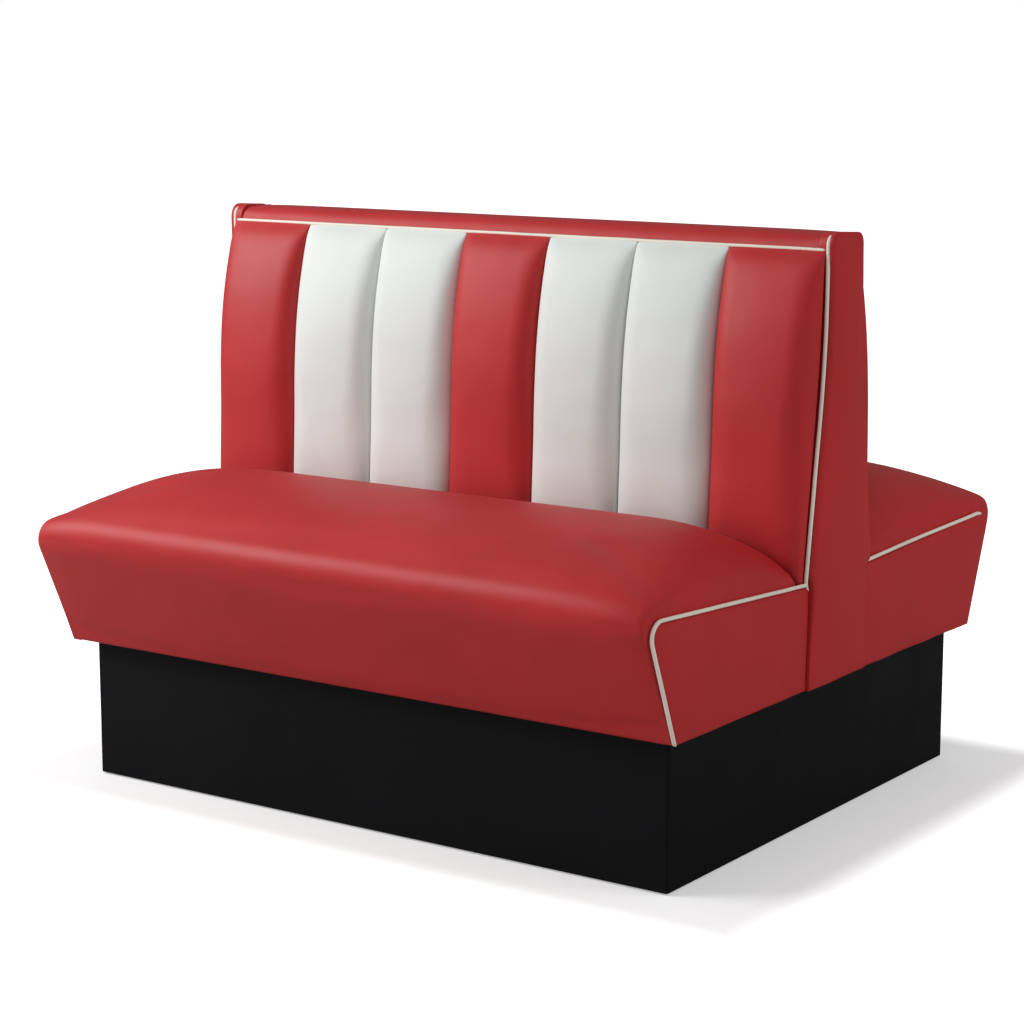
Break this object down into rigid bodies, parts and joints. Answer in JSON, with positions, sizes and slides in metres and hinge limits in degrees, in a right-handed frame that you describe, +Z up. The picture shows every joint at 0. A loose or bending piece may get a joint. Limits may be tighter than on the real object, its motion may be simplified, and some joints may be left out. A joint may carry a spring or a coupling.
{
  "type": "restaurant booth seat",
  "caption": "Back-to-back restaurant booth: crowned piped seats on a black plinth, with a shared backrest of upright padded channels in red and white vinyl.",
  "frame": {"origin": "on the floor, under the middle of the booth", "axes": "+X along the seats, -Y the way the front seat faces, +Z up"},
  "size_m": [1.224, 1.1738, 0.9537],
  "materials": {
    "red_vinyl": "semi-gloss",
    "white_vinyl": "semi-gloss",
    "piping_vinyl": "semi-gloss",
    "seat_foam": "matt",
    "plywood": "matt",
    "softwood": "matt",
    "black_laminate": "satin",
    "glide_plastic": "matt",
    "bolt_steel": "zinc plated"
  },
  "bodies": {
    "root": {"plinth_front_board": "black_laminate", "plinth_rear_board": "black_laminate", "plinth_right_board": "black_laminate", "plinth_left_board": "black_laminate", "plinth_rib": "plywood", "plinth_corner_blocks": "softwood", "floor_glides": "glide_plastic", "front_seat_front_board": "plywood", "front_seat_rib": "plywood", "front_seat_deck": "plywood", "front_seat_foam": "seat_foam", "front_seat_cover": "red_vinyl", "front_seat_gable_left": "plywood", "front_seat_end_pad_left": "red_vinyl", "front_seat_piping_left": "piping_vinyl", "front_seat_gable_right": "plywood", "front_seat_end_pad_right": "red_vinyl", "front_seat_piping_right": "piping_vinyl", "back_front_facing": "plywood", "back_top_piping_front": "piping_vinyl", "front_channel_1": "red_vinyl", "front_channel_2": "white_vinyl", "front_channel_3": "white_vinyl", "front_channel_4": "red_vinyl", "front_channel_5": "white_vinyl", "front_channel_6": "white_vinyl", "front_channel_7": "red_vinyl", "rear_seat_front_board": "plywood", "rear_seat_rib": "plywood", "rear_seat_deck": "plywood", "rear_seat_foam": "seat_foam", "rear_seat_cover": "red_vinyl", "rear_seat_gable_left": "plywood", "rear_seat_end_pad_left": "red_vinyl", "rear_seat_piping_left": "piping_vinyl", "rear_seat_gable_right": "plywood", "rear_seat_end_pad_right": "red_vinyl", "rear_seat_piping_right": "piping_vinyl", "back_rear_facing": "plywood", "back_top_piping_rear": "piping_vinyl", "rear_channel_1": "red_vinyl", "rear_channel_2": "white_vinyl", "rear_channel_3": "white_vinyl", "rear_channel_4": "red_vinyl", "rear_channel_5": "white_vinyl", "rear_channel_6": "white_vinyl", "rear_channel_7": "red_vinyl", "back_rib": "plywood", "back_top_rail": "softwood", "back_bottom_rail": "softwood", "back_top_foam": "seat_foam", "back_top_cover": "red_vinyl", "back_rail_bolts": "bolt_steel", "back_gable_left": "plywood", "back_end_pad_left": "red_vinyl", "back_piping_left": "piping_vinyl", "back_gable_right": "plywood", "back_end_pad_right": "red_vinyl", "back_piping_right": "piping_vinyl"}
  },
  "joints": []
}
